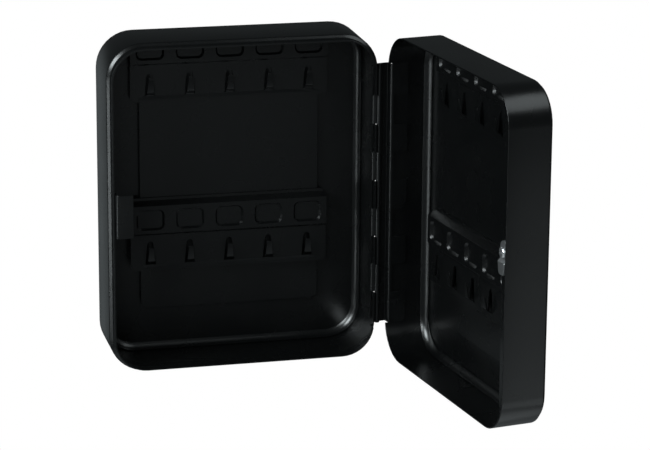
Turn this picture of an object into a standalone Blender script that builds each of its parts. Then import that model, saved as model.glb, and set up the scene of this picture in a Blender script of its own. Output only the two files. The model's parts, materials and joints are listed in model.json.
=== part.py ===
"""A wall key cabinet in pressed sheet steel: a case, a shallow door on a long hinge, and two hook panels.

The origin is the middle of the case's back face. +X is right, +Y goes into the wall, +Z is up.
Everything is drawn with the door shut, and the door is then turned open on its hinge.
"""

import math

import bmesh
import bpy
from mathutils import Matrix, Vector

MM = 0.001

# Case and door
CASE_WIDTH = 162.5 * MM
CASE_HEIGHT = 200 * MM
CASE_DEPTH = 40.1 * MM
CORNER_RADIUS = 21.8 * MM
EDGE_RADIUS = 3 * MM
SHEET = 0.8 * MM
DOOR_DEPTH = 27.9 * MM
DOOR_GAP = 1 * MM
DOOR_OPEN_DEGREES = 99

# The lip that the door closes over
LIP_INSET = 2.25 * MM
LIP_REACH = 6.5 * MM
JOGGLE_LENGTH = 2.6 * MM

# Wall screws, behind the top edge
WALL_HOLE_RADIUS = 2.4 * MM
WALL_HOLE_FROM_SIDE = 15.25 * MM
WALL_HOLE_BELOW_TOP = 9 * MM

# Clearances
FIT_GAP = 0.3 * MM
RUNNING_GAP = 0.35 * MM
OVERRUN = 1 * MM

# Continuous hinge
HINGE_FROM_END = 21.5 * MM
KNUCKLES = 9
KNUCKLE_GAP = 0.3 * MM
HINGE_BEHIND_SHOULDER = 3.5 * MM
BARREL_RADIUS = 1.65 * MM
LEAF_SHEET = 0.7 * MM
LEAF_BEND = 0.8 * MM
CASE_TAB_DEPTH = 11.6 * MM
CASE_WEB_DEPTH = 8.6 * MM
DOOR_TAB_DEPTH = 12.5 * MM
DOOR_WEB_FLANGE = 1.2 * MM
DOOR_LEAF_SETBACK = 1.6 * MM
DOOR_LEAF_OVERHANG = 2 * MM
CASE_CURL_DEGREES = 285
DOOR_CURL_DEGREES = 255

# Hook panels: a carrier plate with two hook rails
PANEL_SHEET = 0.8 * MM
CARRIER_BESIDE_NUT = 0.55 * MM
CARRIER_BELOW_TOP = 5 * MM
CARRIER_ABOVE_FOOT = 27.3 * MM
CARRIER_CORNER = 4.5 * MM
CASE_STANDOFF = 2.5 * MM
DOOR_STANDOFF = 1.9 * MM
CASE_PANEL_PLACE = (-1.2 * MM, 0)
CASE_LOWER_RAIL_PLACE = (-2.5 * MM, 0)
DOOR_PANEL_PLACE = (0, -1.8 * MM)
DOOR_UPPER_RAIL_PLACE = (0, -0.6 * MM)
SPACER_RADIUS = 3 * MM
SPACER_FROM_SIDE = 9.7 * MM
SPACER_FROM_END = 9.5 * MM

# Hook rails
RAIL_OVERHANG = 5.4 * MM
RAIL_CORNER = 3.2 * MM
UPPER_RAIL_BELOW_TOP = 3.6 * MM
LOWER_RAIL_ABOVE_FOOT = 52.6 * MM
UPPER_RAIL_HEIGHT = 40.2 * MM
LOWER_RAIL_HEIGHT = 44.4 * MM
LOWER_RAIL_FORWARD = 4 * MM
LOWER_SHELF_RISE = 2.1 * MM
LOWER_TAB_HEIGHT = 1.9 * MM
LABEL_STEP = 1.5 * MM
LABEL_STEP_HEIGHT = 1.3 * MM
HOOK_STRIP_HEIGHT = 22.4 * MM

# Label pockets
POCKETS_APART = 9.3 * MM
POCKET_HEIGHT = 10.5 * MM
POCKET_CORNER = 2.4 * MM
POCKET_ABOVE_BOTTOM = 26.7 * MM
POCKET_SLOPE = 1.1 * MM

# Hooks, lanced out of the rail
HOOKS_PER_RAIL = 5
HOOK_FROM_END = 11.9 * MM
SLOT_ABOVE_BOTTOM = 3.7 * MM
SLOT_HEIGHT = 14.6 * MM
SLOT_FOOT_WIDTH = 6.4 * MM
SLOT_TOP_WIDTH = 3.6 * MM
TONGUE_FOOT_WIDTH = 4.8 * MM
TONGUE_TIP_WIDTH = 2.8 * MM
TONGUE_RISE = 11.8 * MM
TONGUE_STEP = 3.6 * MM
TONGUE_STEP_RISE = 3.6 * MM
TONGUE_LEAN = 0.9 * MM

# Strike on the case's left wall
STRIKE_SHEET = 0.9 * MM
STRIKE_HEIGHT = 26 * MM
STRIKE_MIDDLE = -1 * MM
STRIKE_FROM_SIDE = 13.4 * MM
STRIKE_AHEAD = 10.3 * MM
STRIKE_FOOT_DEPTH = 13 * MM
STRIKE_FOOT_LENGTH = 9.4 * MM

# Stiffener down the door's lock side
STIFFENER_SHEET = 0.8 * MM
STIFFENER_WIDTH = 25.5 * MM
STIFFENER_BELOW_RIM = 10.2 * MM
STIFFENER_LEG = 12 * MM
STIFFENER_RETURN = 3 * MM
STIFFENER_BEND = 1 * MM
STIFFENER_HOLE_RADIUS = 5.2 * MM

# Cam lock
LOCK_FROM_SIDE = 19.4 * MM
LOCK_HEIGHT = 3 * MM
LOCK_HEAD_RADIUS = 8.5 * MM
LOCK_HEAD_THICKNESS = 1.8 * MM
LOCK_HEAD_BEVEL = 0.5 * MM
LOCK_BARREL_RADIUS = 5.5 * MM
LOCK_BARREL_TOP = 14.6 * MM
LOCK_NUT_FLATS = 13.2 * MM
LOCK_NUT_THICKNESS = 2.2 * MM
NUT_SIDES = 6
PLUG_RADIUS = 3.9 * MM
PLUG_DRIVE = 4.3 * MM
KEY_SLOT_WIDTH = 1.2 * MM
KEY_SLOT_HEIGHT = 5.6 * MM
KEY_SLOT_DEPTH = 6 * MM
CAM_SHEET = 1.4 * MM
CAM_BEHIND_STRIKE = 0.7 * MM
CAM_WIDTH = 8.4 * MM
CAM_TIP_WIDTH = 6.8 * MM
CAM_REACH = 13 * MM
CAM_CRANK = 1.4 * MM
CAM_CRANK_START = 4.6 * MM
CAM_TIP_CORNER = 2 * MM
CAM_TAIL = 6.8 * MM
SCREW_HEAD_RADIUS = 3 * MM
SCREW_HEAD_THICKNESS = 1.3 * MM
SCREW_SHANK_RADIUS = 1.1 * MM
SCREW_SHANK_LENGTH = 4.5 * MM
SCREW_SLOT_WIDTH = 0.8 * MM
SCREW_SLOT_DEPTH = 0.6 * MM

# Steps in a quarter turn
CORNER_STEPS = 10
EDGE_STEPS = 4
BEND_STEPS = 4
SMALL_CORNER_STEPS = 4
CURL_STEP_DEGREES = 30
TIP_STEPS = 3
TIP_END_DEGREES = 80
ROUND_SIDES = 32
SHARP_DEGREES = 35
MERGE_DISTANCE = 0.01 * MM

# Sizes and places worked out from these
SIDE = CASE_WIDTH / 2
TOP = CASE_HEIGHT / 2
SHOULDER = -CASE_DEPTH
RIM = SHOULDER - DOOR_GAP
DOOR_FACE = RIM - DOOR_DEPTH
HINGE = Vector((SIDE + BARREL_RADIUS + RUNNING_GAP, SHOULDER + HINGE_BEHIND_SHOULDER, 0))
LOCK = Vector((LOCK_FROM_SIDE - SIDE, RIM, LOCK_HEIGHT))
CAM_BACK = SHOULDER - STRIKE_AHEAD + STRIKE_SHEET / 2 + CAM_BEHIND_STRIKE + CAM_SHEET
LEAF_PLANE = SIDE - SHEET - FIT_GAP - LEAF_SHEET / 2
HINGE_LENGTH = CASE_HEIGHT - 2 * HINGE_FROM_END
DOOR_LEAF_LENGTH = HINGE_LENGTH + 2 * DOOR_LEAF_OVERHANG
KNUCKLE_PITCH = HINGE_LENGTH / KNUCKLES
CASE_NOTCH_DEPTH = HINGE_BEHIND_SHOULDER + BARREL_RADIUS + RUNNING_GAP
DOOR_NOTCH_DEPTH = DOOR_LEAF_SETBACK + LEAF_SHEET / 2 + RUNNING_GAP
CARRIER_WIDTH = CASE_WIDTH - 2 * LOCK_FROM_SIDE - LOCK_NUT_FLATS - 2 * CARRIER_BESIDE_NUT
CARRIER_TOP = TOP - CARRIER_BELOW_TOP
CARRIER_BOTTOM = CARRIER_ABOVE_FOOT - TOP
RAIL_WIDTH = CARRIER_WIDTH + 2 * RAIL_OVERHANG
HOOK_PITCH = (RAIL_WIDTH - 2 * HOOK_FROM_END) / (HOOKS_PER_RAIL - 1)
POCKET_WIDTH = HOOK_PITCH - POCKETS_APART


def clear_scene():
    for obj in list(bpy.data.objects):
        bpy.data.objects.remove(obj, do_unlink=True)


def make_collection(name):
    collection = bpy.data.collections.new(name)
    bpy.context.scene.collection.children.link(collection)
    return collection


def make_material(name, colour, roughness, metallic):
    material = bpy.data.materials.new(name)
    material.use_nodes = True
    shader = material.node_tree.nodes["Principled BSDF"]
    shader.inputs["Base Color"].default_value = (*colour, 1)
    shader.inputs["Roughness"].default_value = roughness
    shader.inputs["Metallic"].default_value = metallic
    material.diffuse_color = (*colour, 1)
    return material


def add_mesh(name, points, faces, material, carrier=None, smooth_degrees=None):
    """A part from points and faces, facing outwards, carried by an empty where it moves."""
    mesh = bpy.data.meshes.new(name)
    mesh.from_pydata(points, [], faces)
    form = bmesh.new()
    form.from_mesh(mesh)
    bmesh.ops.recalc_face_normals(form, faces=form.faces)
    form.to_mesh(mesh)
    form.free()
    if smooth_degrees:
        mesh.shade_smooth()
        mesh.set_sharp_from_angle(angle=math.radians(smooth_degrees))
    obj = bpy.data.objects.new(name, mesh)
    mesh.materials.append(material)
    (PARTS if material else CUTTERS).objects.link(obj)
    carry(obj, carrier)
    return obj


def carry(obj, carrier):
    """Hangs an object that is drawn in the shut position on an empty at its joint."""
    if carrier:
        obj.parent = carrier
        obj.matrix_parent_inverse = Matrix.Translation(-Vector(carrier["drawn_at"]))


def add_axis(name, place, carrier=None):
    """An empty on a joint's axis."""
    empty = bpy.data.objects.new(name, None)
    empty["drawn_at"] = place
    empty.location = place - Vector(carrier["drawn_at"]) if carrier else place
    empty.parent = carrier
    empty.empty_display_size = BARREL_RADIUS
    PARTS.objects.link(empty)
    return empty


def as_cutter(obj):
    obj.hide_render = True
    obj.display_type = "WIRE"
    return obj


def combine(obj, tool, operation):
    modifier = obj.modifiers.new(tool.name, "BOOLEAN")
    modifier.operation = operation
    modifier.object = tool
    modifier.solver = "EXACT"
    return obj


def arc(centre, radius, start, end, steps):
    """Points on an arc, in degrees, both ends included."""
    turns = [math.radians(start + (end - start) * step / steps) for step in range(steps + 1)]
    return [(centre[0] + radius * math.cos(t), centre[1] + radius * math.sin(t)) for t in turns]


def rounded_outline(left, right, bottom, top, radius, steps):
    """A rounded rectangle, anticlockwise from its right side."""
    points = arc((right - radius, top - radius), radius, 0, 90, steps)
    points += arc((left + radius, top - radius), radius, 90, 180, steps)
    points += arc((left + radius, bottom + radius), radius, 180, 270, steps)
    points += arc((right - radius, bottom + radius), radius, 270, 360, steps)
    return points


def inset_outline(inset):
    """The case's outline seen from the front, this far in from its sides."""
    return rounded_outline(
        inset - SIDE, SIDE - inset, inset - TOP, TOP - inset, CORNER_RADIUS - inset, CORNER_STEPS
    )


def loft(levels):
    """Points and faces of equal loops of points, joined side by side with no ends."""
    count = len(levels[0])
    faces = []
    for level in range(len(levels) - 1):
        for i in range(count):
            low, low_next = level * count + i, level * count + (i + 1) % count
            faces.append((low, low_next, low_next + count, low + count))
    return [point for loop in levels for point in loop], faces


def add_prism(name, outlines, material=None, carrier=None, smooth_degrees=None):
    """A closed solid through flat outlines of (x, z), each given with its y. Several can share one mesh."""
    points, faces = [], []
    for stack in outlines:
        first, count = len(points), len(stack[0][1])
        own_points, own_faces = loft([[(x, y, z) for x, z in outline] for y, outline in stack])
        points += own_points
        faces += [tuple(first + i for i in face) for face in own_faces]
        faces.append(tuple(first + i for i in range(count)))
        faces.append(tuple(len(points) - count + i for i in range(count)))
    obj = add_mesh(name, points, faces, material, carrier, smooth_degrees)
    return obj if material else as_cutter(obj)


def add_box_cutter(name, boxes, carrier=None):
    """A cutter of boxes, each (left, right, front, back, bottom, top)."""
    stacks = []
    for left, right, front, back, bottom, top in boxes:
        outline = [(left, bottom), (right, bottom), (right, top), (left, top)]
        stacks.append([(front, outline), (back, outline)])
    return add_prism(name, stacks, carrier=carrier)


def disc(centre, radius, sides=ROUND_SIDES):
    return arc(centre, radius, 0, 360 - 360 / sides, sides - 1)


def add_sheet(obj, thickness, offset):
    """Gives an open surface the thickness of its sheet."""
    solidify = obj.modifiers.new("Sheet", "SOLIDIFY")
    solidify.thickness = thickness
    solidify.offset = offset
    solidify.use_even_offset = True
    solidify.use_quality_normals = True
    return obj


def pressed_pan(name, rim_rings, face_y, material, carrier=None):
    """An open pan with a flat face at face_y. rim_rings run from its rim, each an inset and a y."""
    away = math.copysign(1, face_y - rim_rings[0][1])
    turns = [math.pi / 2 * step / EDGE_STEPS for step in range(EDGE_STEPS + 1)]
    edge_rings = [
        (EDGE_RADIUS * (1 - math.cos(t)), face_y - away * EDGE_RADIUS * (1 - math.sin(t)))
        for t in turns
    ]
    levels = []
    for inset, y in rim_rings + edge_rings:
        outline = inset_outline(inset)
        levels.append([(x, y, z) for x, z in outline])
    points, faces = loft(levels)
    faces.append(tuple(range(len(points) - len(levels[0]), len(points))))
    if away > 0:
        faces = [face[::-1] for face in faces]
    mesh = bpy.data.meshes.new(name)
    mesh.from_pydata(points, [], faces)
    mesh.materials.append(material)
    mesh.shade_smooth()
    mesh.set_sharp_from_angle(angle=math.radians(SHARP_DEGREES))
    pan = bpy.data.objects.new(name, mesh)
    PARTS.objects.link(pan)
    carry(pan, carrier)
    return add_sheet(pan, SHEET, -1)


def s_curve_rings():
    """The joggle from the case's wall in to its lip, as two equal bends."""
    rings = []
    for step in range(2 * BEND_STEPS + 1):
        share = step / (2 * BEND_STEPS)
        inset = LIP_INSET * (1 - math.cos(math.pi * share)) / 2
        rings.append((inset, SHOULDER + JOGGLE_LENGTH / 2 - JOGGLE_LENGTH * share))
    return rings


def knuckle_rows(own_first):
    """The leaf's rows along the hinge: each a bottom, a top, and whether the leaf has its knuckle there."""
    splits = [(index - KNUCKLES / 2) * KNUCKLE_PITCH for index in range(1, KNUCKLES)]
    lows = [-DOOR_LEAF_LENGTH / 2] + [z + KNUCKLE_GAP / 2 for z in splits]
    highs = [z - KNUCKLE_GAP / 2 for z in splits] + [DOOR_LEAF_LENGTH / 2]
    first = 0 if own_first else 1
    return [(low, high, index % 2 == first) for index, (low, high) in enumerate(zip(lows, highs))]


def add_leaf(name, path, web, rows, ends, carrier=None):
    """A hinge leaf: a bent strip whose web stretch is whole, and whose other stretches keep to its rows."""
    splits = {z for row in rows for z in row[:2] if ends[0] < z < ends[1]}
    levels = sorted(splits | set(ends))
    own = {(low, high) for low, high, is_own in rows if is_own}
    points = [(x, y, z) for z in levels for x, y in path]
    faces = []
    for level, (low, high) in enumerate(zip(levels, levels[1:])):
        for i in range(len(path) - 1):
            if (low, high) in own or web[0] <= i < web[1]:
                corner = level * len(path) + i
                faces.append((corner, corner + 1, corner + 1 + len(path), corner + len(path)))
    used = sorted({i for face in faces for i in face})
    place = {old: new for new, old in enumerate(used)}
    faces = [tuple(place[i] for i in face) for face in faces]
    leaf = add_mesh(name, [points[i] for i in used], faces, STEEL_BLACK, carrier, SHARP_DEGREES)
    return add_sheet(leaf, LEAF_SHEET, 0)


def build_case_shell():
    rim = [(LIP_INSET, SHOULDER - LIP_REACH)] + s_curve_rings()[::-1]
    case = pressed_pan("case_shell", rim, 0, COATED_BLACK)
    half = DOOR_LEAF_LENGTH / 2 + KNUCKLE_GAP
    inner, outer = SIDE - LIP_INSET - SHEET - OVERRUN, SIDE + OVERRUN
    straight = SHOULDER + JOGGLE_LENGTH / 2
    boxes = [(inner, outer, SHOULDER - LIP_REACH - OVERRUN, straight, -half, half)]
    combine(case, add_box_cutter("cut_case_lip", boxes), "DIFFERENCE")
    boxes = [
        (inner, outer, straight - OVERRUN, SHOULDER + CASE_NOTCH_DEPTH, low - KNUCKLE_GAP, high + KNUCKLE_GAP)
        for low, high, own in knuckle_rows(False)
        if own
    ]
    combine(case, add_box_cutter("cut_case_notches", boxes), "DIFFERENCE")
    holes = []
    for side in (-1, 1):
        outline = disc((side * (SIDE - WALL_HOLE_FROM_SIDE), TOP - WALL_HOLE_BELOW_TOP), WALL_HOLE_RADIUS)
        holes.append([(-SHEET - OVERRUN, outline), (OVERRUN, outline)])
    combine(case, add_prism("cut_wall_holes", holes), "DIFFERENCE")


def build_door_shell(door):
    shell = pressed_pan("door_shell", [(0, RIM)], DOOR_FACE, COATED_BLACK, door)
    half = DOOR_LEAF_LENGTH / 2 + FIT_GAP
    inner = SIDE - SHEET - OVERRUN
    boxes = [(inner, SIDE + OVERRUN, RIM - DOOR_NOTCH_DEPTH, RIM + OVERRUN, -half, half)]
    combine(shell, add_box_cutter("cut_door_notch", boxes, door), "DIFFERENCE")
    hole = disc((LOCK.x, LOCK.z), LOCK_BARREL_RADIUS + FIT_GAP)
    stack = [(DOOR_FACE - OVERRUN, hole), (DOOR_FACE + SHEET + OVERRUN, hole)]
    combine(shell, add_prism("cut_door_lock", [stack], carrier=door), "DIFFERENCE")


def build_hinge(door):
    middle = BARREL_RADIUS - LEAF_SHEET / 2
    steps = DOOR_CURL_DEGREES // CURL_STEP_DEGREES
    arm = HINGE.y + middle
    path = [(LEAF_PLANE, SHOULDER + CASE_TAB_DEPTH), (LEAF_PLANE, SHOULDER + CASE_WEB_DEPTH)]
    path += arc((LEAF_PLANE + LEAF_BEND, arm + LEAF_BEND), LEAF_BEND, 180, 270, BEND_STEPS)
    path += arc((HINGE.x, HINGE.y), middle, 90, 90 - CASE_CURL_DEGREES, steps)
    ends = (-HINGE_LENGTH / 2, HINGE_LENGTH / 2)
    add_leaf("case_hinge_leaf", path, (1, 2), knuckle_rows(False), ends)

    plate = RIM - DOOR_LEAF_SETBACK
    outside = HINGE.x + middle
    web_end = HINGE.y - BARREL_RADIUS - RUNNING_GAP
    path = [(LEAF_PLANE, RIM - DOOR_TAB_DEPTH), (LEAF_PLANE, plate - LEAF_BEND - DOOR_WEB_FLANGE)]
    path += arc((LEAF_PLANE + LEAF_BEND, plate - LEAF_BEND), LEAF_BEND, 180, 90, BEND_STEPS)
    path += arc((outside - LEAF_BEND, plate + LEAF_BEND), LEAF_BEND, 270, 360, BEND_STEPS)
    path.append((outside, web_end))
    web = (1, len(path) - 1)
    path += arc((HINGE.x, HINGE.y), middle, 0, DOOR_CURL_DEGREES, steps)
    ends = (-DOOR_LEAF_LENGTH / 2, DOOR_LEAF_LENGTH / 2)
    add_leaf("door_hinge_leaf", path, web, knuckle_rows(True), ends, door)

    bpy.ops.mesh.primitive_cylinder_add(
        vertices=ROUND_SIDES // 2,
        radius=BARREL_RADIUS - LEAF_SHEET - FIT_GAP,
        depth=DOOR_LEAF_LENGTH,
        location=HINGE,
    )
    pin = bpy.context.object
    pin.name = "hinge_pin"
    pin.data.materials.append(BRIGHT_STEEL)
    finish_round(pin)


def finish_round(obj):
    """Puts an operator's object with the parts, shaded as a turned piece."""
    obj.data.shade_smooth()
    obj.data.set_sharp_from_angle(angle=math.radians(SHARP_DEGREES))
    for collection in list(obj.users_collection):
        collection.objects.unlink(obj)
    PARTS.objects.link(obj)


def build_carrier(prefix, front, facing, place, carrier):
    """The plate that both rails sit on. facing is 1 where the room is towards -Y, and -1 in the door."""
    across, up = place
    outline = rounded_outline(
        across - CARRIER_WIDTH / 2,
        across + CARRIER_WIDTH / 2,
        up + CARRIER_BOTTOM,
        up + CARRIER_TOP,
        CARRIER_CORNER,
        SMALL_CORNER_STEPS,
    )
    stack = [(front, outline), (front + facing * PANEL_SHEET, outline)]
    add_prism(f"{prefix}_panel", [sorted(stack, key=lambda level: level[0])], COATED_BLACK, carrier)


def build_spacers(prefix, near, far, place, carrier):
    """The four stand-offs that carry the plate on the skin behind it."""
    number = 0
    reach = CARRIER_WIDTH / 2 - SPACER_FROM_SIDE
    for z in (CARRIER_TOP - SPACER_FROM_END, CARRIER_BOTTOM + SPACER_FROM_END):
        for side in (-1, 1):
            number += 1
            middle = (place[0] + side * reach, place[1] + z)
            outline = disc(middle, SPACER_RADIUS, ROUND_SIDES // 2)
            stack = [(min(near, far), outline), (max(near, far), outline)]
            add_prism(f"{prefix}_spacer_{number}", [stack], COATED_BLACK, carrier, SHARP_DEGREES)


def rail_surface(name, section, across, carrier):
    """A folded strip along X from its section of (y, z)."""
    left, right = across - RAIL_WIDTH / 2, across + RAIL_WIDTH / 2
    points = [(left, y, z) for y, z in section] + [(right, y, z) for y, z in section]
    count = len(section)
    faces = [(i, i + 1, count + i + 1, count + i) for i in range(count - 1)]
    return add_sheet(add_mesh(name, points, faces, COATED_BLACK, carrier), PANEL_SHEET, 0)


def hook_places(across):
    first = across - HOOK_PITCH * (HOOKS_PER_RAIL - 1) / 2
    return [first + HOOK_PITCH * index for index in range(HOOKS_PER_RAIL)]


def tip_turns():
    """The turns at which a round tip is drawn. The last stops short of a quarter, so it keeps a width."""
    return [math.radians(TIP_END_DEGREES * step / TIP_STEPS) for step in range(1, TIP_STEPS + 1)]


def tongue_path():
    """The hook's line from its foot, as steps out from the strip and heights above the foot."""
    steps_out = [(0, -PANEL_SHEET)]
    for step in range(2 * BEND_STEPS + 1):
        share = step / (2 * BEND_STEPS)
        steps_out.append((TONGUE_STEP * (1 - math.cos(math.pi * share)) / 2, TONGUE_STEP_RISE * share))
    radius = TONGUE_TIP_WIDTH / 2
    steps_out.append((TONGUE_STEP + TONGUE_LEAN, TONGUE_RISE - radius))
    for turn in tip_turns():
        steps_out.append((TONGUE_STEP + TONGUE_LEAN, TONGUE_RISE - radius * (1 - math.sin(turn))))
    return steps_out


def tongue_widths(path):
    """Half the tongue's width at each point of its line: a taper, then a round tip."""
    radius = TONGUE_TIP_WIDTH / 2
    halves = []
    for _, height in path[:-TIP_STEPS]:
        share = max(0, height) / (TONGUE_RISE - radius)
        halves.append((TONGUE_FOOT_WIDTH + (TONGUE_TIP_WIDTH - TONGUE_FOOT_WIDTH) * share) / 2)
    return halves + [radius * math.cos(turn) for turn in tip_turns()]


def add_tongues(name, strip, bottom, facing, across, carrier):
    path = tongue_path()
    widths = tongue_widths(path)
    points, faces = [], []
    for x in hook_places(across):
        first = len(points)
        for (out, height), half in zip(path, widths):
            y, z = strip - facing * out, bottom + height
            points += [(x - half, y, z), (x + half, y, z)]
        for i in range(len(path) - 1):
            corner = first + 2 * i
            faces.append((corner, corner + 1, corner + 3, corner + 2))
    tongues = add_mesh(name, points, faces, None, carrier)
    return as_cutter(add_sheet(tongues, PANEL_SHEET, 0))


def slot_outline(x, bottom):
    radius = SLOT_TOP_WIDTH / 2
    outline = [(x - SLOT_FOOT_WIDTH / 2, bottom), (x + SLOT_FOOT_WIDTH / 2, bottom)]
    return outline + arc((x, bottom + SLOT_HEIGHT - radius), radius, 0, 180, 2 * SMALL_CORNER_STEPS)


def pocket_outline(x, bottom, grow):
    return rounded_outline(
        x - POCKET_WIDTH / 2 - grow,
        x + POCKET_WIDTH / 2 + grow,
        bottom - grow,
        bottom + POCKET_HEIGHT + grow,
        POCKET_CORNER + grow,
        SMALL_CORNER_STEPS,
    )


def build_rail(name, section, strip, facing, across, carrier):
    """A hook rail: the folded strip, its rounded ends, its pressed label pockets and its lanced hooks."""
    rail = rail_surface(name, section, across, carrier)
    left, right = across - RAIL_WIDTH / 2, across + RAIL_WIDTH / 2
    bottom, top = section[0][1], section[-1][1]
    ends = rounded_outline(left, right, bottom, top, RAIL_CORNER, SMALL_CORNER_STEPS)
    deep = LOWER_RAIL_FORWARD + LABEL_STEP + TONGUE_STEP
    stack = [(strip - deep, ends), (strip + deep, ends)]
    trim = add_prism(f"trim_{name}", [stack], carrier=carrier)
    combine(rail, trim, "INTERSECT")

    half = PANEL_SHEET / 2
    floor_back = strip + facing * half
    label_front = strip - facing * (LABEL_STEP + half)
    pocket_bottom = bottom + POCKET_ABOVE_BOTTOM
    swells, pockets = [], []
    for x in hook_places(across):
        root = (strip - facing * LABEL_STEP, pocket_outline(x, pocket_bottom, POCKET_SLOPE + half))
        back = (floor_back, pocket_outline(x, pocket_bottom, half))
        swells.append(sorted([root, back], key=lambda level: level[0]))
        floor = (strip - facing * half, pocket_outline(x, pocket_bottom, 0))
        mouth = (label_front, pocket_outline(x, pocket_bottom, POCKET_SLOPE))
        above = (label_front - facing * OVERRUN, mouth[1])
        pockets.append(sorted([floor, mouth, above], key=lambda level: level[0]))
    combine(rail, add_prism(f"swell_{name}", swells, carrier=carrier), "UNION")
    combine(rail, add_prism(f"pocket_{name}", pockets, carrier=carrier), "DIFFERENCE")

    foot = bottom + SLOT_ABOVE_BOTTOM
    slots = []
    for x in hook_places(across):
        outline = slot_outline(x, foot)
        slots.append([(strip - PANEL_SHEET, outline), (strip + PANEL_SHEET, outline)])
    combine(rail, add_prism(f"slots_{name}", slots, carrier=carrier), "DIFFERENCE")
    combine(rail, add_tongues(f"tongues_{name}", strip, foot, facing, across, carrier), "UNION")


def build_panel(prefix, skin, standoff, facing, places, carrier):
    """A hook panel on its skin: spacers, plate and two rails. places are the plate's and then the rails'."""
    place, upper, lower = places
    plate_front = skin - facing * (standoff + PANEL_SHEET)
    near, far = skin - facing * FIT_GAP, skin - facing * (standoff - FIT_GAP)
    build_spacers(prefix, near, far, place, carrier)
    build_carrier(prefix, plate_front, facing, place, carrier)

    flat = plate_front - facing * (FIT_GAP + PANEL_SHEET / 2)
    top = upper[1] + TOP - UPPER_RAIL_BELOW_TOP
    bottom = top - UPPER_RAIL_HEIGHT
    bend = bottom + HOOK_STRIP_HEIGHT
    label = flat - facing * LABEL_STEP
    section = [(flat, bottom), (flat, bend), (label, bend + LABEL_STEP_HEIGHT), (label, top)]
    build_rail(f"{prefix}_upper_rail", section, flat, facing, upper[0], carrier)

    strip = flat - facing * LOWER_RAIL_FORWARD
    label = strip - facing * LABEL_STEP
    bottom = lower[1] + LOWER_RAIL_ABOVE_FOOT - TOP
    top = bottom + LOWER_RAIL_HEIGHT
    bend = bottom + HOOK_STRIP_HEIGHT
    shelf = top - LOWER_TAB_HEIGHT
    section = [
        (strip, bottom),
        (strip, bend),
        (label, bend + LABEL_STEP_HEIGHT),
        (label, shelf - LOWER_SHELF_RISE),
        (flat, shelf),
        (flat, top),
    ]
    build_rail(f"{prefix}_lower_rail", section, strip, facing, lower[0], carrier)


def folded_strip(name, path, bottom, top, thickness, material, carrier=None):
    """A bent bracket: a path in plan, drawn up from bottom to top."""
    count = len(path)
    points = [(x, y, z) for z in (bottom, top) for x, y in path]
    faces = [(i, i + 1, count + i + 1, count + i) for i in range(count - 1)]
    strip = add_mesh(name, points, faces, material, carrier, SHARP_DEGREES)
    return add_sheet(strip, thickness, 0)


def build_strike():
    """The bent plate that the cam turns in behind, carried on the case's left wall."""
    half = STRIKE_SHEET / 2
    wall = -SIDE + SHEET + FIT_GAP + half
    leg = wall + LIP_INSET
    plate = SHOULDER - STRIKE_AHEAD
    path = [(wall, SHOULDER + STRIKE_FOOT_DEPTH)]
    path.append((wall, SHOULDER + STRIKE_FOOT_DEPTH - STRIKE_FOOT_LENGTH))
    path.append((leg, SHOULDER + STRIKE_FOOT_DEPTH - STRIKE_FOOT_LENGTH - LIP_INSET))
    path += arc((leg + STIFFENER_BEND, plate + STIFFENER_BEND), STIFFENER_BEND, 180, 270, BEND_STEPS)
    path.append((STRIKE_FROM_SIDE - SIDE, plate))
    bottom = STRIKE_MIDDLE - STRIKE_HEIGHT / 2
    folded_strip("strike_bracket", path, bottom, bottom + STRIKE_HEIGHT, STRIKE_SHEET, COATED_BLACK)


def build_stiffener(door):
    """The folded plate down the lock side, whose hole the lock's plug comes through."""
    half = STIFFENER_SHEET / 2
    wall = -SIDE + SHEET + FIT_GAP + half
    level = RIM - STIFFENER_BELOW_RIM - half
    inner = STIFFENER_WIDTH - SIDE - half
    path = [(wall, level - STIFFENER_LEG)]
    path += arc((wall + STIFFENER_BEND, level - STIFFENER_BEND), STIFFENER_BEND, 180, 90, BEND_STEPS)
    path += arc((inner - STIFFENER_BEND, level - STIFFENER_BEND), STIFFENER_BEND, 90, 0, BEND_STEPS)
    path.append((inner, level - STIFFENER_RETURN))
    stiffener = folded_strip("lock_stiffener", path, -TOP, TOP, STIFFENER_SHEET, COATED_BLACK, door)
    room = inset_outline(SHEET + FIT_GAP)
    stack = [(DOOR_FACE, room), (RIM, room)]
    combine(stiffener, add_prism("trim_stiffener", [stack], carrier=door), "INTERSECT")
    hole = disc((LOCK.x, LOCK.z), STIFFENER_HOLE_RADIUS)
    stack = [(level - STIFFENER_SHEET, hole), (level + STIFFENER_SHEET, hole)]
    combine(stiffener, add_prism("cut_stiffener", [stack], carrier=door), "DIFFERENCE")


def hexagon(centre, flats):
    half_turn = 180 / NUT_SIDES
    corner = flats / 2 / math.cos(math.radians(half_turn))
    return arc(centre, corner, half_turn, 360 - half_turn, NUT_SIDES - 1)


def add_turned(name, profile, material, carrier):
    """A turned piece on the lock's axis, from its radii and ys, the outer side running towards the face."""
    mesh = bpy.data.meshes.new(name)
    points = [(radius, 0, -y) for radius, y in reversed(profile)]
    closed = profile[0][0] > 0
    edges = [(i, i + 1) for i in range(len(points) - 1)]
    if closed:
        edges.append((len(points) - 1, 0))
    mesh.from_pydata(points, edges, [])
    mesh.materials.append(material)
    obj = bpy.data.objects.new(name, mesh)
    PARTS.objects.link(obj)
    obj.parent = carrier
    obj.location = Vector((LOCK.x, 0, LOCK.z)) - Vector(carrier["drawn_at"])
    obj.rotation_euler = (math.radians(90), 0, 0)
    screw = obj.modifiers.new("Turn", "SCREW")
    screw.steps = ROUND_SIDES
    screw.render_steps = ROUND_SIDES
    screw.use_merge_vertices = True
    screw.merge_threshold = MERGE_DISTANCE
    screw.use_smooth_shade = False
    return obj


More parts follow.
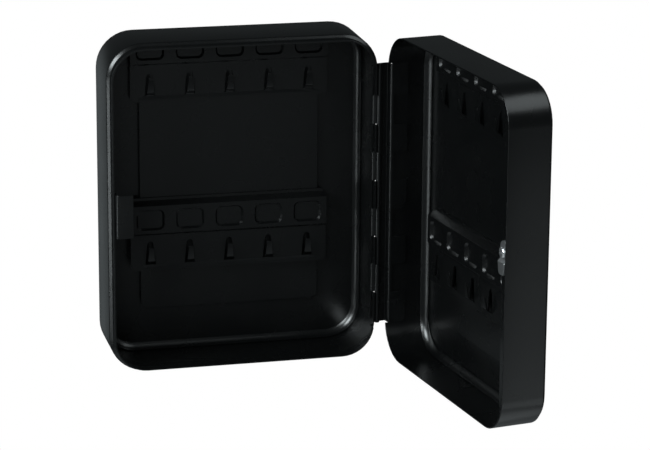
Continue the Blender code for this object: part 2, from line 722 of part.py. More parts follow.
def build_lock(door, turn):
    """The cam lock: head and barrel, nut, plug, cam and screw, from the door's face inwards."""
    face = DOOR_FACE - FIT_GAP
    barrel_top = RIM - LOCK_BARREL_TOP
    bore = PLUG_RADIUS + FIT_GAP
    front = face - LOCK_HEAD_THICKNESS
    profile = [
        (LOCK_BARREL_RADIUS, barrel_top),
        (LOCK_BARREL_RADIUS, face),
        (LOCK_HEAD_RADIUS, face),
        (LOCK_HEAD_RADIUS, front + LOCK_HEAD_BEVEL),
        (LOCK_HEAD_RADIUS - LOCK_HEAD_BEVEL, front),
        (bore, front),
        (bore, barrel_top),
    ]
    add_turned("lock_body", profile, ZINC, door)

    seat = DOOR_FACE + SHEET + FIT_GAP
    nut = hexagon((LOCK.x, LOCK.z), LOCK_NUT_FLATS)
    body = add_prism("lock_nut", [[(seat, nut), (seat + LOCK_NUT_THICKNESS, nut)]], ZINC, door)
    hole = disc((LOCK.x, LOCK.z), LOCK_BARREL_RADIUS + FIT_GAP)
    stack = [(seat - OVERRUN, hole), (seat + LOCK_NUT_THICKNESS + OVERRUN, hole)]
    combine(body, add_prism("cut_nut", [stack], carrier=door), "DIFFERENCE")

    hub_back = CAM_BACK - CAM_CRANK
    cam_front = hub_back - CAM_SHEET
    plug_end = cam_front - FIT_GAP
    disc_outline = disc((LOCK.x, LOCK.z), PLUG_RADIUS)
    plug = add_prism(
        "lock_plug", [[(front, disc_outline), (plug_end, disc_outline)]], ZINC, turn, SHARP_DEGREES
    )
    drive = PLUG_DRIVE / 2
    boxes = [
        (LOCK.x - drive, LOCK.x + drive, plug_end - OVERRUN, hub_back, LOCK.z - drive, LOCK.z + drive)
    ]
    combine(plug, add_box_cutter("drive_plug", boxes, turn), "UNION")
    shank_hole = disc((LOCK.x, LOCK.z), SCREW_SHANK_RADIUS + FIT_GAP, ROUND_SIDES // 2)
    depth = SCREW_SHANK_LENGTH + FIT_GAP
    stack = [(hub_back - depth, shank_hole), (hub_back + OVERRUN, shank_hole)]
    combine(plug, add_prism("cut_plug_bore", [stack], carrier=turn), "DIFFERENCE")
    wide, tall = KEY_SLOT_WIDTH / 2, KEY_SLOT_HEIGHT / 2
    boxes = [
        (LOCK.x - wide, LOCK.x + wide, front - OVERRUN, front + KEY_SLOT_DEPTH, LOCK.z - tall, LOCK.z + tall)
    ]
    combine(plug, add_box_cutter("cut_key_slot", boxes, turn), "DIFFERENCE")

    build_cam(turn, cam_front)
    build_cam_screw(turn, hub_back)


def cam_rows():
    """The cam's rows down its length: each a height from the lock's axis, half a width, and a step back."""
    half, tip = CAM_WIDTH / 2, CAM_TIP_WIDTH / 2
    rows = []
    for turn in reversed(tip_turns()):
        rows.append((CAM_TAIL - half * (1 - math.sin(turn)), half * math.cos(turn), 0))
    rows.append((CAM_TAIL - half, half, 0))
    rows.append((-CAM_CRANK_START, half, 0))
    rows.append((-CAM_CRANK_START - CAM_CRANK, half, CAM_CRANK))
    rows.append((CAM_TIP_CORNER - CAM_REACH, tip, CAM_CRANK))
    for turn in tip_turns():
        height = CAM_TIP_CORNER * (1 - math.sin(turn)) - CAM_REACH
        rows.append((height, tip - CAM_TIP_CORNER * (1 - math.cos(turn)), CAM_CRANK))
    return rows


def build_cam(turn, front):
    """The cranked cam, hanging straight down while the lock is open."""
    middle = front + CAM_SHEET / 2
    rows = cam_rows()
    points = []
    for height, half, back in rows:
        for side in (-1, 1):
            points.append((LOCK.x + side * half, middle + back, LOCK.z + height))
    faces = [(2 * i, 2 * i + 1, 2 * i + 3, 2 * i + 2) for i in range(len(rows) - 1)]
    cam = add_sheet(add_mesh("lock_cam", points, faces, ZINC, turn, SHARP_DEGREES), CAM_SHEET, 0)
    hole = PLUG_DRIVE / 2 + FIT_GAP
    low, high = front - OVERRUN, front + CAM_SHEET + OVERRUN
    boxes = [(LOCK.x - hole, LOCK.x + hole, low, high, LOCK.z - hole, LOCK.z + hole)]
    combine(cam, add_box_cutter("cut_cam_square", boxes, turn), "DIFFERENCE")


def build_cam_screw(turn, hub_back):
    seat = hub_back + FIT_GAP
    top = seat + SCREW_HEAD_THICKNESS
    end = seat - SCREW_SHANK_LENGTH
    profile = [
        (0, top),
        (SCREW_HEAD_RADIUS - LOCK_HEAD_BEVEL, top),
        (SCREW_HEAD_RADIUS, top - LOCK_HEAD_BEVEL),
        (SCREW_HEAD_RADIUS, seat),
        (SCREW_SHANK_RADIUS, seat),
        (SCREW_SHANK_RADIUS, end),
        (0, end),
    ]
    screw = add_turned("cam_screw", profile, ZINC, turn)
    slot = SCREW_SLOT_WIDTH / 2
    reach = SCREW_HEAD_RADIUS + OVERRUN
    boxes = [
        (LOCK.x - reach, LOCK.x + reach, top - SCREW_SLOT_DEPTH, top + OVERRUN, LOCK.z - slot, LOCK.z + slot)
    ]
    combine(screw, add_box_cutter("cut_screw_slot", boxes, turn), "DIFFERENCE")


clear_scene()
PARTS = make_collection("key_cabinet")
CUTTERS = make_collection("cutters")
COATED_BLACK = make_material("black_powder_coat", (0.012, 0.013, 0.014), 0.38, 0)
STEEL_BLACK = make_material("hinge_black", (0.012, 0.013, 0.014), 0.32, 0.2)
BRIGHT_STEEL = make_material("bright_steel", (0.5, 0.5, 0.5), 0.3, 1)
ZINC = make_material("zinc_plate", (0.62, 0.62, 0.6), 0.28, 1)

door_axis = add_axis("door_hinge", HINGE)
lock_axis = add_axis("lock_turn", LOCK, door_axis)
build_case_shell()
build_door_shell(door_axis)
build_hinge(door_axis)
case_places = (CASE_PANEL_PLACE, CASE_PANEL_PLACE, CASE_LOWER_RAIL_PLACE)
build_panel("case", -SHEET, CASE_STANDOFF, 1, case_places, None)
door_places = (DOOR_PANEL_PLACE, DOOR_UPPER_RAIL_PLACE, DOOR_PANEL_PLACE)
build_panel("door", DOOR_FACE + SHEET, DOOR_STANDOFF, -1, door_places, door_axis)
build_strike()
build_stiffener(door_axis)
build_lock(door_axis, lock_axis)
door_axis.rotation_euler.z = math.radians(DOOR_OPEN_DEGREES)
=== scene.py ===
# %% [markdown]
# A wall key cabinet in black powder-coated sheet steel
#
# The cabinet is a pressed steel case with a shallow door on a continuous hinge. Both hold a panel of
# lanced hooks, and a small cam lock closes the door. The solids are already made to size, and this
# script dresses them: it softens their edges as a press and a coat of powder do, gives each its
# finish, and sets up the camera and the studio that the finish reflects.

# %% Load the cabinet
import json
import math
import bmesh
import bpy
from mathutils import Matrix, Vector

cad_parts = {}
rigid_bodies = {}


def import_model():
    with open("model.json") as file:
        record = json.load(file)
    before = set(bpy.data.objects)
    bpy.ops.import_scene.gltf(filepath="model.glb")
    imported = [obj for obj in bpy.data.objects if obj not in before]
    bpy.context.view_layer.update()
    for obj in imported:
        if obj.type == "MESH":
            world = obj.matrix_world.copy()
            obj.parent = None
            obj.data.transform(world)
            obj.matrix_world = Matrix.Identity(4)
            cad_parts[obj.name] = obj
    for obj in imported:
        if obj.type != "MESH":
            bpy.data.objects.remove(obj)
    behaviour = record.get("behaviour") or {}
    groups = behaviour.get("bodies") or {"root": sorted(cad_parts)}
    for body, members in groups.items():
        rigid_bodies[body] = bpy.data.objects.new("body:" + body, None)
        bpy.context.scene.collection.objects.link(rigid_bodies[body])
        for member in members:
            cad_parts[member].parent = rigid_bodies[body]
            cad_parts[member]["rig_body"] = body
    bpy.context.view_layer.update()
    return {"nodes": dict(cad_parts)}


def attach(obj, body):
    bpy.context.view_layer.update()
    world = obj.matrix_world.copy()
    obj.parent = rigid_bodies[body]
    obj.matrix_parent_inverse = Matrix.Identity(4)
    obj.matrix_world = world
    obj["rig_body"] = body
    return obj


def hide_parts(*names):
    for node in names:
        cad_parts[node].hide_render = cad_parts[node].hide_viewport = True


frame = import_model()
MM = 0.001

# %% [markdown]
# The camera
#
# The cabinet is seen from the upper left with a long lens, so its sides stay nearly parallel. The
# angles, the distance and the lens were solved from the outlines of the case and the door, and the
# focal length and the middle of the view are in pixels of the finished picture. The view is slightly
# rolled, and the frame is shifted, because the picture was cropped off centre.

# %% Camera
FRAME_WIDTH, FRAME_HEIGHT = 650, 450
SENSOR = 36.0
FOCAL_PIXELS = 2876.39
YAW, PITCH, ROLL = math.radians(14.59), math.radians(15.93), math.radians(0.66)
DISTANCE = 1724.38 * MM
LOOK_AT = Vector((75.85, -40.1, -8.52)) * MM
CENTRE_PIXEL = (367.59, 210.22)
NEAREST_SEEN = 10 * MM


def camera_axes():
    """The camera's right, up and forward directions, from yaw, pitch and roll."""
    forward = Vector((math.sin(YAW) * math.cos(PITCH), math.cos(YAW) * math.cos(PITCH), -math.sin(PITCH)))
    level = Vector((math.cos(YAW), -math.sin(YAW), 0))
    upright = level.cross(forward)
    right = math.cos(ROLL) * level + math.sin(ROLL) * upright
    up = -math.sin(ROLL) * level + math.cos(ROLL) * upright
    return right, up, forward


def add_camera():
    """Places the camera, and shifts its frame so that the picture's crop is matched."""
    right, up, forward = camera_axes()
    camera = bpy.data.objects.new("camera", bpy.data.cameras.new("camera"))
    bpy.context.scene.collection.objects.link(camera)
    turn = Matrix((right, up, -forward)).transposed()
    camera.matrix_world = Matrix.Translation(LOOK_AT - DISTANCE * forward) @ turn.to_4x4()
    camera.data.sensor_width = SENSOR
    camera.data.lens = FOCAL_PIXELS / FRAME_WIDTH * SENSOR
    camera.data.shift_x = -(CENTRE_PIXEL[0] - FRAME_WIDTH / 2) / FRAME_WIDTH
    camera.data.shift_y = (CENTRE_PIXEL[1] - FRAME_HEIGHT / 2) / FRAME_WIDTH
    camera.data.clip_start = NEAREST_SEEN
    bpy.context.scene.camera = camera
    print(f"Camera: {camera.data.lens:.0f} mm lens at {[round(v, 3) for v in camera.location]}")


add_camera()
bpy.context.scene.view_settings.view_transform = "Standard"

# %% [markdown]
# The studio
#
# A black coat has almost no colour of its own: what the eye sees is the room in it. So the room is
# drawn for its reflections. The sky is dim all round, with one paler patch behind on the left, which
# the case's side mirrors. Directions are given as a compass angle, 0 towards the viewer and 90 to the
# right, and as an angle above the horizon. The camera itself sees plain white behind the cabinet.

# %% Sky patches
SKY_COLOUR = (0.86, 0.97, 1.0)
SKY_BASE = 0.05
SKY_PATCHES = [
    # how bright, then in degrees: compass angle, height angle, where it starts to fade, where it ends
    (0.16, 198, -14, 8, 22),
]


def towards(compass, height):
    """The direction of a compass angle and a height angle, both in degrees."""
    compass, height = math.radians(compass), math.radians(height)
    return Vector((
        math.sin(compass) * math.cos(height), -math.cos(compass) * math.cos(height), math.sin(height)
    ))


def sky_patch(nodes, links, place, bright, compass, height, fades, ends):
    """The value of one round patch of sky with a soft edge."""
    facing = nodes.new("ShaderNodeVectorMath")
    facing.operation = "DOT_PRODUCT"
    facing.inputs[1].default_value = towards(compass, height)
    links.new(place.outputs["Generated"], facing.inputs[0])
    soft = nodes.new("ShaderNodeMapRange")
    soft.interpolation_type = "SMOOTHSTEP"
    soft.inputs["From Min"].default_value = math.cos(math.radians(ends))
    soft.inputs["From Max"].default_value = math.cos(math.radians(fades))
    soft.inputs["To Max"].default_value = bright
    links.new(facing.outputs["Value"], soft.inputs["Value"])
    return soft.outputs[0]


print(f"Sky: strength {SKY_BASE} all round, and {len(SKY_PATCHES)} paler patch")

# %% [markdown]
# Two worlds in one
#
# Light Path tells whether a ray comes straight from the camera. Such a ray gets white at full
# strength, and every other ray, also one that a coated face throws back, gets the dim sky.

# %% World
def add_world():
    """The sky for light and reflections, and plain white for the camera."""
    world = bpy.data.worlds.new("studio")
    bpy.context.scene.world = world
    world.use_nodes = True
    nodes, links = world.node_tree.nodes, world.node_tree.links
    nodes.clear()
    place = nodes.new("ShaderNodeTexCoord")
    base = nodes.new("ShaderNodeValue")
    base.outputs[0].default_value = SKY_BASE
    total = base.outputs[0]
    for patch in SKY_PATCHES:
        both = nodes.new("ShaderNodeMath")
        both.operation = "ADD"
        links.new(total, both.inputs[0])
        links.new(sky_patch(nodes, links, place, *patch), both.inputs[1])
        total = both.outputs[0]
    rays = nodes.new("ShaderNodeLightPath")
    white = nodes.new("ShaderNodeMix")
    white.inputs["B"].default_value = 1
    links.new(rays.outputs["Is Camera Ray"], white.inputs["Factor"])
    links.new(total, white.inputs["A"])
    colour = nodes.new("ShaderNodeMix")
    colour.data_type = "RGBA"
    colour.inputs["A"].default_value = (*SKY_COLOUR, 1)
    colour.inputs["B"].default_value = (1, 1, 1, 1)
    links.new(rays.outputs["Is Camera Ray"], colour.inputs["Factor"])
    background = nodes.new("ShaderNodeBackground")
    links.new(colour.outputs["Result"], background.inputs["Color"])
    links.new(white.outputs["Result"], background.inputs["Strength"])
    output = nodes.new("ShaderNodeOutputWorld")
    links.new(background.outputs[0], output.inputs["Surface"])
    print(f"World: {len(nodes)} nodes")


add_world()

# %% [markdown]
# Soft boxes
#
# Every line of light on the cabinet is a lamp seen in the coat. The boxes on the left draw the long
# lines in the fillets and on the rims, a wide one high on the right catches the door's round upper
# corner, and small weak cards below the horizon lift the panels and the door's free side just out of
# black. All are hidden from the camera.

# %% Soft boxes
LAMP_COLOUR = (0.90, 0.98, 1.0)
LAMPS_AIM = Vector((60, -60, 0)) * MM
SOFT_BOXES = [
    # name, compass angle, height angle, distance, width, height, watts
    ("box_left", 297, 27, 1.5, 0.60, 0.60, 22.0),
    ("box_front_left", 333, 18, 1.5, 0.45, 0.40, 9.0),
    ("strip_left", 285, -12, 1.5, 0.35, 0.35, 2.0),
    ("box_upper_right", 60, 48, 1.5, 1.10, 0.80, 5.5),
    ("card_panel", 8, -10, 1.5, 0.60, 0.25, 0.10),
    ("card_hinge", 345, -10, 1.5, 0.20, 0.20, 0.12),
    ("card_right", 45, -16, 1.5, 0.60, 0.40, 0.28),
    ("card_low_right", 44, -32, 1.5, 0.70, 0.40, 0.75),
    ("card_under", 60, -60, 1.2, 0.60, 0.60, 0.60),
]


def add_soft_box(name, compass, height, distance, wide, high, watts):
    """A rectangular lamp in a direction from the cabinet's middle, facing it."""
    lamp = bpy.data.lights.new(name, "AREA")
    lamp.shape = "RECTANGLE"
    lamp.size, lamp.size_y = wide, high
    lamp.energy = watts
    lamp.color = LAMP_COLOUR
    box = bpy.data.objects.new(name, lamp)
    bpy.context.scene.collection.objects.link(box)
    away = towards(compass, height)
    turn = away.to_track_quat("Z", "Y").to_matrix().to_4x4()
    box.matrix_world = Matrix.Translation(LAMPS_AIM + distance * away) @ turn
    box.visible_camera = False


for values in SOFT_BOXES:
    add_soft_box(*values)
print(f"{len(SOFT_BOXES)} soft boxes")

# %% [markdown]
# The floor
#
# The cabinet hangs on a wall, so the floor is well below it. The camera sees the floor as plain
# white, so no shadow shows on it. In the reflections it is a pale floor in a dim room.

# %% Floor
FLOOR_DROP, FLOOR_SIDE = 1300 * MM, 6000 * MM
FLOOR_PALE, FLOOR_ROUGHNESS = (0.62, 0.63, 0.64), 0.9


def add_floor():
    """A pale square far below the cabinet, plain white to the camera."""
    form = bmesh.new()
    below = Matrix.Translation((0, 0, -FLOOR_DROP))
    bmesh.ops.create_grid(form, x_segments=1, y_segments=1, size=FLOOR_SIDE / 2, matrix=below)
    mesh = bpy.data.meshes.new("floor")
    form.to_mesh(mesh)
    form.free()
    floor = bpy.data.objects.new("floor", mesh)
    bpy.context.scene.collection.objects.link(floor)
    material = bpy.data.materials.new("pale_floor")
    material.use_nodes = True
    nodes, links = material.node_tree.nodes, material.node_tree.links
    shader = nodes["Principled BSDF"]
    shader.inputs["Base Color"].default_value = (*FLOOR_PALE, 1)
    shader.inputs["Roughness"].default_value = FLOOR_ROUGHNESS
    rays = nodes.new("ShaderNodeLightPath")
    white = nodes.new("ShaderNodeEmission")
    seen = nodes.new("ShaderNodeMixShader")
    links.new(rays.outputs["Is Camera Ray"], seen.inputs["Fac"])
    links.new(shader.outputs["BSDF"], seen.inputs[1])
    links.new(white.outputs["Emission"], seen.inputs[2])
    links.new(seen.outputs["Shader"], nodes["Material Output"].inputs["Surface"])
    mesh.materials.append(material)
    print(f"Floor: {FLOOR_SIDE} m square, {FLOOR_DROP:.1f} m below the cabinet's middle")


add_floor()

# %% [markdown]
# The finishes
#
# Powder coat is dry powder baked until it flows. It never flows quite flat, so a close look shows a
# slow orange-peel ripple with a fine grain on top. Both are heights. One node group makes them for
# every coated piece, and also slow patches, by which any finish can vary its gloss.

# %% Powder grain, a shared node group
RIPPLE_PER_METRE, GRAIN_PER_METRE, GRAIN_SHARE = 900, 4500, 0.35
RIPPLE_DETAIL, GRAIN_DETAIL = 2, 3
PATCHES_PER_METRE, PATCH_DETAIL = 28, 3


def new_group(name, inputs, outputs):
    """A node group with float inputs given as name and value, and named outputs."""
    group = bpy.data.node_groups.new(name, "ShaderNodeTree")
    for label, value in inputs:
        socket = group.interface.new_socket(label, in_out="INPUT", socket_type="NodeSocketFloat")
        socket.default_value = value
    for label, kind in outputs:
        group.interface.new_socket(label, in_out="OUTPUT", socket_type=kind)
    return group, group.nodes.new("NodeGroupInput"), group.nodes.new("NodeGroupOutput")


def make_powder_grain():
    """Ripple and grain as one height, and slow patches that vary the gloss."""
    inputs = [
        ("Ripple Scale", RIPPLE_PER_METRE), ("Grain Scale", GRAIN_PER_METRE), ("Grain Share", GRAIN_SHARE)
    ]
    outputs = [("Height", "NodeSocketFloat"), ("Gloss Change", "NodeSocketFloat")]
    group, given, made = new_group("powder_grain", inputs, outputs)
    nodes, links = group.nodes, group.links
    place = nodes.new("ShaderNodeTexCoord")
    ripple = nodes.new("ShaderNodeTexNoise")
    ripple.inputs["Detail"].default_value = RIPPLE_DETAIL
    grain = nodes.new("ShaderNodeTexNoise")
    grain.inputs["Detail"].default_value = GRAIN_DETAIL
    for noise, scale in ((ripple, "Ripple Scale"), (grain, "Grain Scale")):
        links.new(place.outputs["Object"], noise.inputs["Vector"])
        links.new(given.outputs[scale], noise.inputs["Scale"])
    height = nodes.new("ShaderNodeMix")
    links.new(given.outputs["Grain Share"], height.inputs["Factor"])
    links.new(ripple.outputs["Fac"], height.inputs["A"])
    links.new(grain.outputs["Fac"], height.inputs["B"])
    links.new(height.outputs["Result"], made.inputs["Height"])
    patches = nodes.new("ShaderNodeTexNoise")
    patches.inputs["Scale"].default_value = PATCHES_PER_METRE
    patches.inputs["Detail"].default_value = PATCH_DETAIL
    links.new(place.outputs["Object"], patches.inputs["Vector"])
    links.new(patches.outputs["Fac"], made.inputs["Gloss Change"])
    return group


POWDER_GRAIN = make_powder_grain()
print(f"Powder grain: {len(POWDER_GRAIN.nodes)} nodes")

# %% [markdown]
# Black powder coat
#
# The coat is a plain dielectric with hardly any colour: its own tone is near zero, and what shows is
# the gloss. A mid roughness smears every lamp into a soft line. The group's height goes through a
# Bump node, and its slow patches move the roughness a little, as a coat of uneven thickness does. The
# hinge gets a shallower relief, so that the grain doesn't swamp its narrow knuckles.

# %% Coats
# Noise seldom leaves this range, so the range is spread over the whole change of gloss.
PATCH_LOW, PATCH_HIGH = 0.3, 0.7
COAT_GLOSS_CHANGE, PLATE_GLOSS_CHANGE = 0.03, 0.06
COAT_COLOUR, COAT_ROUGHNESS = (0.0020, 0.0022, 0.0023), 0.27


def patchy_roughness(nodes, links, grain, shader, roughness, change):
    """Lets the slow patches move the roughness by change to either side."""
    spread = nodes.new("ShaderNodeMapRange")
    spread.inputs["From Min"].default_value = PATCH_LOW
    spread.inputs["From Max"].default_value = PATCH_HIGH
    spread.inputs["To Min"].default_value = roughness - change
    spread.inputs["To Max"].default_value = roughness + change
    links.new(grain.outputs["Gloss Change"], spread.inputs["Value"])
    links.new(spread.outputs[0], shader.inputs["Roughness"])


def coated_black(name, roughness, bump):
    """Black powder coat on steel, with its ripple and grain."""
    material = bpy.data.materials.new(name)
    material.use_nodes = True
    nodes, links = material.node_tree.nodes, material.node_tree.links
    shader = nodes["Principled BSDF"]
    shader.inputs["Base Color"].default_value = (*COAT_COLOUR, 1)
    grain = nodes.new("ShaderNodeGroup")
    grain.node_tree = POWDER_GRAIN
    patchy_roughness(nodes, links, grain, shader, roughness, COAT_GLOSS_CHANGE)
    relief = nodes.new("ShaderNodeBump")
    relief.inputs["Strength"].default_value = 1
    relief.inputs["Distance"].default_value = bump
    links.new(grain.outputs["Height"], relief.inputs["Height"])
    links.new(relief.outputs["Normal"], shader.inputs["Normal"])
    return material


CASE_RELIEF, HINGE_RELIEF = 0.022 * MM, 0.008 * MM
CASE_BLACK = coated_black("black_powder_coat", COAT_ROUGHNESS, CASE_RELIEF)
HINGE_BLACK = coated_black("hinge_black", COAT_ROUGHNESS, HINGE_RELIEF)
print(f"Two coats, {CASE_RELIEF / MM:.3f} and {HINGE_RELIEF / MM:.3f} mm of relief")

# %% [markdown]
# Zinc plate and pin steel
#
# The lock is zinc plated: bright, a little uneven and not polished. The same slow noise that varies
# the coat's gloss also darkens and roughens the plate in soft patches. The hinge's wire is made the
# same way, but far darker, as where a mist of the black powder has settled on it.

# %% Bright metals
DARKEST_PATCH = 0.86


def bright_metal(name, colour, roughness):
    """Satin metal, darker and rougher in soft patches."""
    material = bpy.data.materials.new(name)
    material.use_nodes = True
    nodes, links = material.node_tree.nodes, material.node_tree.links
    shader = nodes["Principled BSDF"]
    shader.inputs["Metallic"].default_value = 1
    grain = nodes.new("ShaderNodeGroup")
    grain.node_tree = POWDER_GRAIN
    tone = nodes.new("ShaderNodeMix")
    tone.data_type = "RGBA"
    tone.inputs["A"].default_value = (*colour, 1)
    tone.inputs["B"].default_value = (*(DARKEST_PATCH * value for value in colour), 1)
    links.new(grain.outputs["Gloss Change"], tone.inputs["Factor"])
    links.new(tone.outputs["Result"], shader.inputs["Base Color"])
    patchy_roughness(nodes, links, grain, shader, roughness, PLATE_GLOSS_CHANGE)
    return material


ZINC_COLOUR, ZINC_ROUGHNESS = (0.78, 0.79, 0.80), 0.36
PIN_COLOUR, PIN_ROUGHNESS = (0.030, 0.030, 0.032), 0.35
ZINC_PLATE = bright_metal("zinc_plate", ZINC_COLOUR, ZINC_ROUGHNESS)
PIN_STEEL = bright_metal("pin_steel", PIN_COLOUR, PIN_ROUGHNESS)
print("Two metals: zinc plate and dark pin steel")

# %% [markdown]
# Wider inner fillets
#
# A long soft highlight runs round the inside of the case and the door. A sheet of even thickness has
# a plain fillet there, the outer radius less the sheet, as the solids do, and that is too tight to
# give a highlight this broad. So for its sake the fillet is made wider here. Each of its points keeps
# its angle round the fillet and moves out to the same angle of a larger arc. That arc touches the
# wall and the back further from the corner, and both stay where they are.

# %% The pans' measures
SHEET, SIDE, TOP, CORNER = 0.8 * MM, 81.25 * MM, 100 * MM, 21.8 * MM
EDGE_RADIUS, WIDE_FILLET = 3 * MM, 7 * MM
PLAIN_FILLET = EDGE_RADIUS - SHEET
CASE_BACK, DOOR_FACE = 0, -69 * MM
HINGE_AXIS = Vector((83.25, -36.6, 0)) * MM
DOOR_OPEN = math.radians(99)
print(f"Inner fillets: {PLAIN_FILLET / MM:.1f} mm in the solids, {WIDE_FILLET / MM:.1f} mm here")

# %% [markdown]
# Finding the fillet
#
# A point belongs to the fillet when it lies close to both the wall and the back. Seen from the front,
# a pan's inner wall is a rectangle with round corners, so the way inwards is square to a straight
# side and points at the corner's centre on a round one. How far round the fillet a point stands is
# then an angle: 0 degrees where the fillet leaves the wall, 90 where it meets the back.

# %% Where a point stands on the fillet
# A point this far outside the fillet still counts, because the solids' points are rounded.
SLACK = 0.05 * MM


def depth_and_inward(x, z):
    """How far a point lies inside the inner wall's outline, and the direction from the wall inwards."""
    along, up = abs(x) - (SIDE - CORNER), abs(z) - (TOP - CORNER)
    if along > 0 and up > 0:
        reach = math.hypot(along, up)
        inward = Vector((-math.copysign(along, x), 0, -math.copysign(up, z))) / reach
        return CORNER - SHEET - reach, inward
    if along > up:
        return CORNER - SHEET - along, Vector((-math.copysign(1, x), 0, 0))
    return CORNER - SHEET - up, Vector((0, 0, -math.copysign(1, z)))


def fillet_place(point, floor, outward):
    """For a point on a shut pan's inner fillet: its depth from the wall, its height and the way inwards."""
    height = (floor - outward * SHEET - point.y) * outward
    depth, inward = depth_and_inward(point.x, point.z)
    if -SLACK < depth < PLAIN_FILLET + SLACK and -SLACK < height < PLAIN_FILLET + SLACK:
        return depth, height, inward
    return None


def fillet_turn(depth, height):
    """How far round the fillet a point is, in radians from the wall."""
    return math.atan2(PLAIN_FILLET - height, PLAIN_FILLET - depth)


# %% [markdown]
# Moving the fillet out
#
# The solids' fillet has few steps, and a soft line of light would break on them. So the edges that
# run across it are cut in three first, and then every point takes its place on the larger arc. The
# door stands open in the solids, so its points are turned shut, moved and turned back.

# %% Wider inner fillets
# An edge runs across the fillet when its ends are at least this far apart round it.
ACROSS_AT_LEAST, CUTS_ACROSS = math.radians(10), 2


def widen_inner_fillet(form, floor, outward, to_closed):
    """Makes a pan's inner fillet rounder. outward is 1 where the floor's inside looks to -Y, or else -1."""
    across = []
    for edge in form.edges:
        ends = [fillet_place(to_closed @ vert.co, floor, outward) for vert in edge.verts]
        if all(ends) and abs(fillet_turn(*ends[0][:2]) - fillet_turn(*ends[1][:2])) > ACROSS_AT_LEAST:
            across.append(edge)
    bmesh.ops.subdivide_edges(form, edges=across, cuts=CUTS_ACROSS, use_grid_fill=True)
    moved = 0
    back = to_closed.inverted()
    for vert in form.verts:
        place = to_closed @ vert.co
        found = fillet_place(place, floor, outward)
        if not found:
            continue
        depth, height, inward = found
        turn = fillet_turn(depth, height)
        place += inward * (WIDE_FILLET * (1 - math.cos(turn)) - depth)
        place.y -= outward * (WIDE_FILLET * (1 - math.sin(turn)) - height)
        vert.co = back @ place
        moved += 1
    print(f"Inner fillet: {len(across)} edges cut, {moved} points moved")


def widen_case(form):
    """The case is modelled where it stands, so nothing has to be turned."""
    widen_inner_fillet(form, CASE_BACK, 1, Matrix.Identity(4))


def widen_door(form):
    """The door is turned shut about the hinge for the work."""
    turn_shut = Matrix.Rotation(-DOOR_OPEN, 4, "Z")
    to_closed = Matrix.Translation(HINGE_AXIS) @ turn_shut @ Matrix.Translation(-HINGE_AXIS)
    widen_inner_fillet(form, DOOR_FACE, -1, to_closed)


# %% [markdown]
# Closer knuckles
#
# Between two knuckles of the hinge there is a gap of 0.3 mm, and specks of the white background
# glint beside the barrel there, which the real hinge doesn't show. The foot of each knuckle of the
# case's leaf is drawn down to just short of the next one. That dims the specks and still lets the
# door turn past. A longer foot would hide more of them, but it would touch the door's leaf.

# %% Closer knuckles
KNUCKLE_EXTRA = 0.25 * MM
# A face looks down when its normal's z is below this.
LOOKS_DOWN = -0.9


def lengthen_knuckles(form):
    """Draws down what looks down: the foot of each knuckle, and the lower end of the leaf itself."""
    ends = {vert for face in form.faces if face.normal.z < LOOKS_DOWN for vert in face.verts}
    for vert in ends:
        vert.co.z -= KNUCKLE_EXTRA
    print(f"Knuckles: {len(ends)} end points moved by {KNUCKLE_EXTRA / MM:.2f} mm")


# %% [markdown]
# The pieces
#
# The solids are already the right shape, but a mesh from CAD is loose triangles with knife edges.
# A copy is merged, its flat triangles are joined, and its edges get the small radius that the press
# and the coat leave. The radius catches the light as the thin pale lines along every rim.

# %% Dress a solid
# Points closer than the first are one point, and faces nearer to flat than the second are one face.
MERGE_WITHIN, FLAT_WITHIN = 0.001 * MM, math.radians(0.5)


def dress(node, material, edge, segments=2, reshape=None, crease=30):
    """A copy of a solid with softened edges, which stands for it. reshape may move points of the copy.

    crease is the angle in degrees from which an edge counts as one: it is drawn sharp and softened.
    """
    source = frame["nodes"][node]
    form = bmesh.new()
    form.from_mesh(source.data)
    bmesh.ops.remove_doubles(form, verts=form.verts, dist=MERGE_WITHIN)
    bmesh.ops.dissolve_limit(
        form, angle_limit=FLAT_WITHIN, verts=form.verts, edges=form.edges, use_dissolve_boundaries=False
    )
    if reshape:
        reshape(form)
    mesh = bpy.data.meshes.new(f"{node}_dressed")
    form.to_mesh(mesh)
    form.free()
    # The normals that came with the solid no longer fit the cut and moved points.
    if "custom_normal" in mesh.attributes:
        mesh.attributes.remove(mesh.attributes["custom_normal"])
    piece = bpy.data.objects.new(f"{node}_dressed", mesh)
    bpy.context.scene.collection.objects.link(piece)
    mesh.materials.append(material)
    mesh.shade_smooth()
    mesh.set_sharp_from_angle(angle=math.radians(crease))
    bevel = piece.modifiers.new("Edge", "BEVEL")
    bevel.width = edge
    bevel.segments = segments
    bevel.limit_method = "ANGLE"
    bevel.angle_limit = math.radians(crease)
    bevel.use_clamp_overlap = True
    bevel.harden_normals = True
    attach(piece, source["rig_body"])
    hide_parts(node)


SHELL_EDGE, SHEET_EDGE, HINGE_EDGE, LOCK_EDGE = 0.20 * MM, 0.24 * MM, 0.12 * MM, 0.18 * MM
for width in (SHELL_EDGE, SHEET_EDGE, HINGE_EDGE, LOCK_EDGE):
    print(f"Edge radius: {width / MM:.2f} mm")

# %% [markdown]
# The two shells
#
# The case and the door are pans drawn from one sheet each, with round corners. Their rims are cut
# edges under powder, a touch softer than the cut itself, and a rim this thin shows as one pale line
# against the black. Both get the wider inner fillet from above.

# %% Case and door
dress("case_shell", CASE_BLACK, SHELL_EDGE, segments=3, reshape=widen_case)
dress("door_shell", CASE_BLACK, SHELL_EDGE, segments=3, reshape=widen_door)

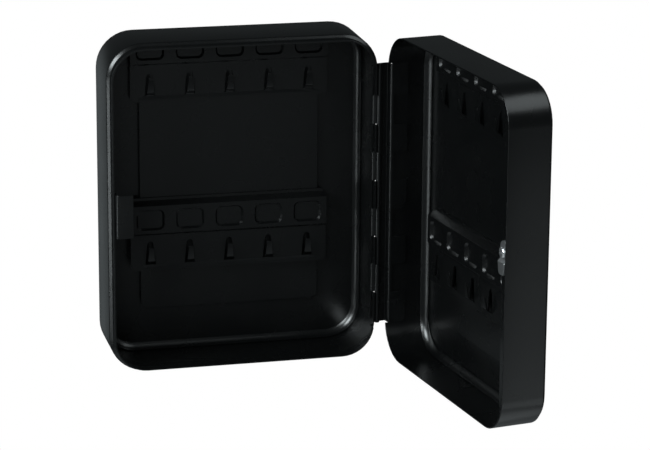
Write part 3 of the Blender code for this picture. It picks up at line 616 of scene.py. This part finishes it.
# %% [markdown]
# Hook panels and rails
#
# Each hook is lanced out of the sheet: cut on three sides and bent forward, which leaves its window
# behind. The label pockets above the hooks are pressed into the same sheet. The solids already hold
# every cut, so nothing is drawn here as a bump. A rounded edge is all that a lanced hook still needs.

# %% Panels and rails
for side in ("case", "door"):
    for sheet in ("panel", "upper_rail", "lower_rail"):
        dress(f"{side}_{sheet}", CASE_BLACK, SHEET_EDGE)
    print(f"The {side} carries a panel and two rails")

# %% [markdown]
# Stand-offs
#
# The panels stand clear of the sheet behind them, on a round seat in each corner. The seats are out
# of sight and take the same coat as the panels.

# %% Stand-offs
for side in ("case", "door"):
    for number in (1, 2, 3, 4):
        dress(f"{side}_spacer_{number}", CASE_BLACK, SHEET_EDGE)
    print(f"The {side}'s panel stands on 4 seats")

# %% [markdown]
# Strike and stiffener
#
# The strike is a small bent plate welded to the case's side wall, and the lock's cam turns in behind
# it. The stiffener is a strip behind the lock, down the free side of the door. Both are coated as the
# rails are.

# %% Strike bracket and lock stiffener
for node in ("strike_bracket", "lock_stiffener"):
    dress(node, CASE_BLACK, SHEET_EDGE)
    print(f"{node}: dressed")

# %% [markdown]
# The hinge
#
# A continuous hinge is two notched leaves rolled round one wire. Its knuckles are fine, so their
# edges get the smallest radius, and only edges sharper than 40 degrees count as edges: the rolled
# barrel then stays one smooth round.

# %% Hinge leaves and pin
HINGE_CREASE = 40
dress(
    "case_hinge_leaf", HINGE_BLACK, HINGE_EDGE, reshape=lengthen_knuckles, crease=HINGE_CREASE
)
dress("door_hinge_leaf", HINGE_BLACK, HINGE_EDGE, crease=HINGE_CREASE)
dress("hinge_pin", PIN_STEEL, HINGE_EDGE)
print("Hinge: two leaves and a wire")

# %% [markdown]
# The cam lock
#
# The lock is the one bright thing in the cabinet: a zinc-plated barrel held by a nut, with a plug, a
# stamped cam and the cam's screw. Zinc plate is satin and a little blue, and its small rounded edges
# carry most of its sparkle.

# %% Lock
for node in ("lock_body", "lock_nut", "lock_plug", "lock_cam", "cam_screw"):
    dress(node, ZINC_PLATE, LOCK_EDGE)
